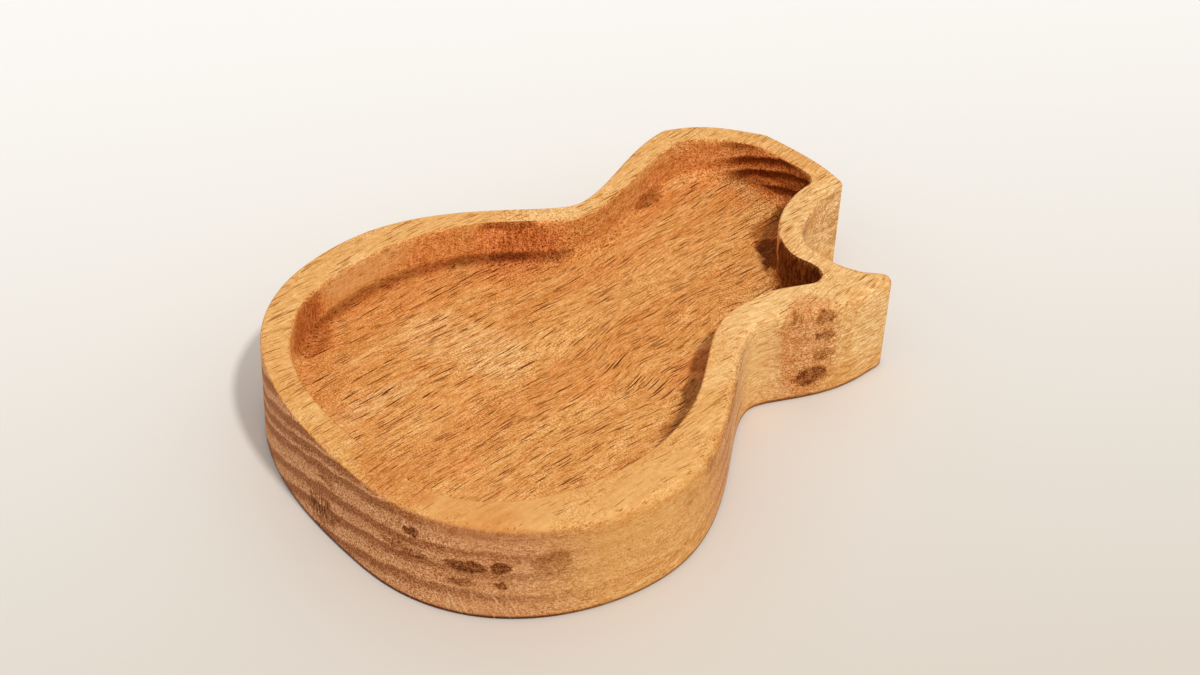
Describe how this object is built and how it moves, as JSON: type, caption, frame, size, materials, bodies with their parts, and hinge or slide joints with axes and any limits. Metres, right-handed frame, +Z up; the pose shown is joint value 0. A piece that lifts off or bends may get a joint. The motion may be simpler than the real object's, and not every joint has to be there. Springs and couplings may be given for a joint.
{
  "type": "guitar pick tray",
  "caption": "Shallow tray carved from one thick hardwood board in the outline of a single-cutaway guitar body, with a routed pocket that follows the edge.",
  "frame": {"origin": "centre of the tray's overall footprint, on the flat underside it stands on", "axes": "+Y along the body from the butt to the neck end, +X to the treble side with the cutaway and horn, +Z up out of the pocket"},
  "size_m": [0.081, 0.1144, 0.019],
  "materials": {
    "wood": "bare sanded hardwood with open pores, matte"
  },
  "bodies": {
    "root": {"tray_body": "wood"}
  },
  "joints": []
}
